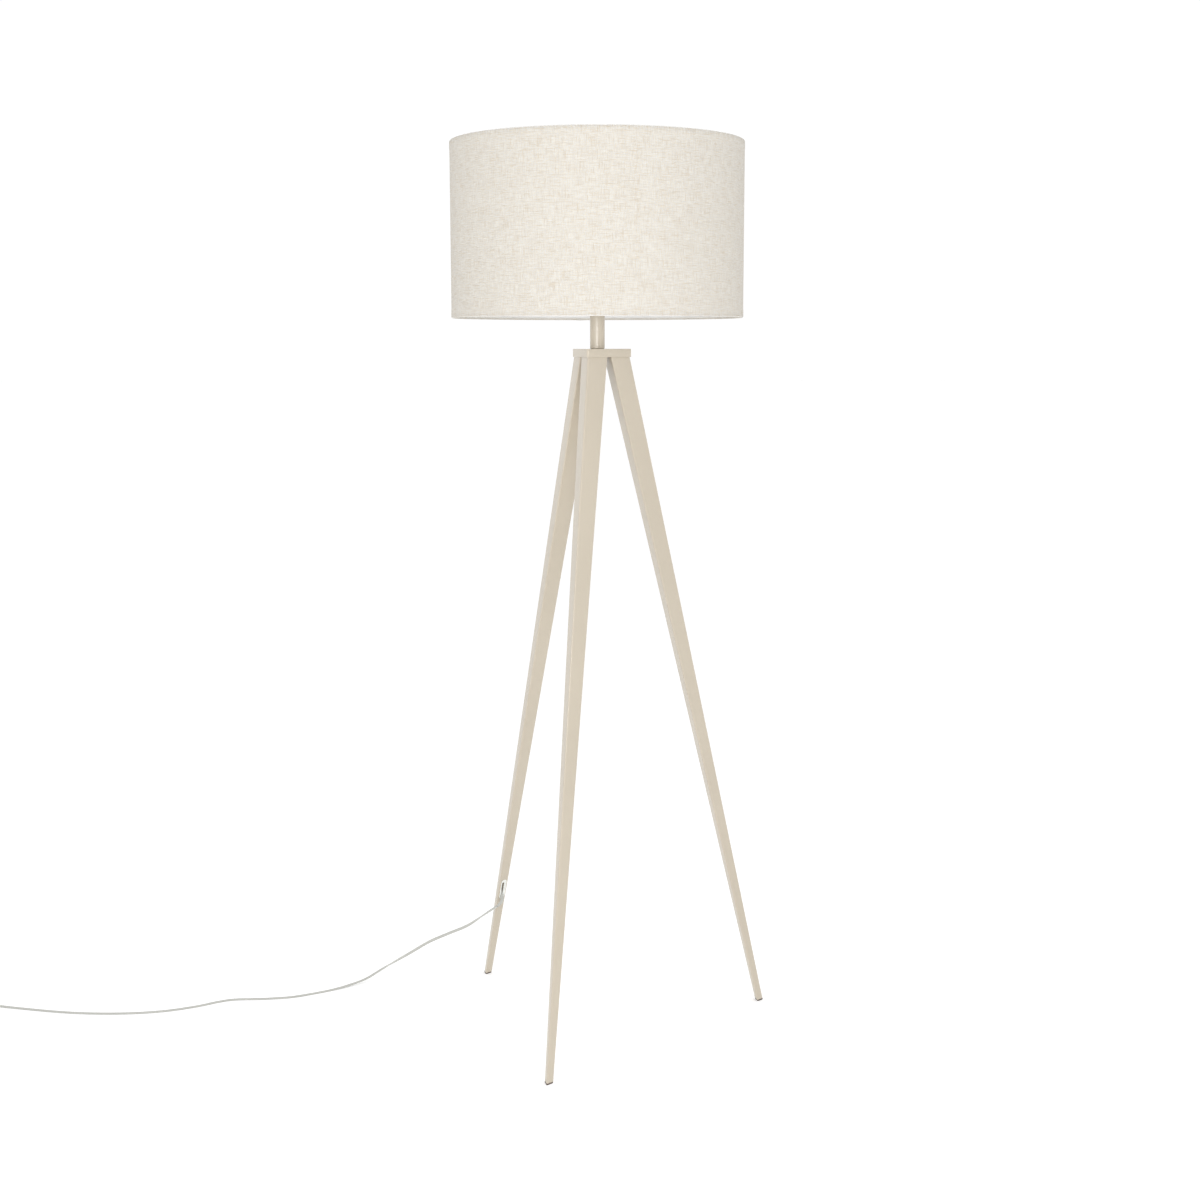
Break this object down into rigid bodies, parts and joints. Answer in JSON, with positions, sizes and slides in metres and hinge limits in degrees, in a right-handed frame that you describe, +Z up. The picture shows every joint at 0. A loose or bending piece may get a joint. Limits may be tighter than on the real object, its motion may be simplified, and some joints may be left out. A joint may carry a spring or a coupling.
{
  "type": "tripod floor lamp",
  "caption": "Tripod floor lamp with tapered triangular legs, a triangular hub, a short round stem and a wide linen drum shade on a harp, with a flat cord from one leg.",
  "frame": {"origin": "on the floor, midway between the three feet, straight below the stem", "axes": "+Z up along the stem and the shade axis; -Y towards the front leg; +X towards the right leg, 30 degrees round"},
  "size_m": [1.5446, 0.5828, 1.573],
  "materials": {
    "paint": "satin powder coat, warm greige",
    "steel": "zinc plated",
    "rubber": "matt, dark brown",
    "brass": "satin",
    "insulator": "black moulding",
    "bulb_metal": "bright",
    "bulb_plastic": "opal white",
    "linen": "woven linen with slubs",
    "liner_film": "satin white styrene",
    "white_wire": "gloss white",
    "flex": "translucent silver-grey",
    "white_plastic": "moulded, light gloss"
  },
  "bodies": {
    "stand": {"hub_cap": "paint", "hub_core": "steel", "leg_front": "paint", "leg_right": "paint", "leg_left": "paint", "leg_insert_front": "steel", "leg_insert_right": "steel", "leg_insert_left": "steel", "leg_screws": "steel", "foot_front": "rubber", "foot_right": "rubber", "foot_left": "rubber", "lamp_pipe": "brass", "pipe_nut": "brass", "pipe_washer": "steel", "stem_ring": "paint", "stem_tube": "paint", "stem_cap": "paint", "harp_saddle": "brass", "socket_cap": "brass", "socket_shell": "brass", "socket_liner": "insulator", "socket_core": "insulator", "socket_screw_shell": "brass", "socket_contact": "brass", "inner_cord": "flex", "outlet_grommet": "white_plastic", "strain_relief": "flex", "cord_run": "flex", "cord_coil": "flex", "coil_tie": "white_plastic", "cord_tail": "flex", "plug_body": "flex", "plug_blades": "brass"},
    "shade": {"shade_fabric": "linen", "shade_liner": "liner_film", "shade_top_ring": "white_wire", "shade_lower_ring": "white_wire", "shade_spider": "white_wire"},
    "harp": {"harp": "brass", "harp_sleeves": "brass", "harp_stud": "brass"},
    "finial": {"finial": "paint"},
    "bulb": {"bulb_tip": "bulb_metal", "bulb_cap": "bulb_metal", "bulb_housing": "bulb_plastic", "bulb_globe": "bulb_plastic"},
    "switch": {"switch_shaft": "steel", "switch_knob": "insulator"}
  },
  "joints": [
    {"name": "harp_lift", "type": "slide", "parent": "stand", "child": "harp", "axis": [0, 0, 1], "range_m": [0, 0.022]},
    {"name": "shade_turn", "type": "hinge", "parent": "harp", "child": "shade", "pos_m": [0, 0, 1.5445], "axis": [0, 0, 1], "continuous": true},
    {"name": "finial_off", "type": "slide", "parent": "harp", "child": "finial", "axis": [0, 0, 1], "range_m": [0, 0.014]},
    {"name": "bulb_out", "type": "slide", "parent": "stand", "child": "bulb", "axis": [0, 0, 1], "range_m": [0, 0.028]},
    {"name": "switch_turn", "type": "hinge", "parent": "stand", "child": "switch", "pos_m": [0, -0.015, 1.3185], "axis": [0, -1, 0], "continuous": true}
  ]
}
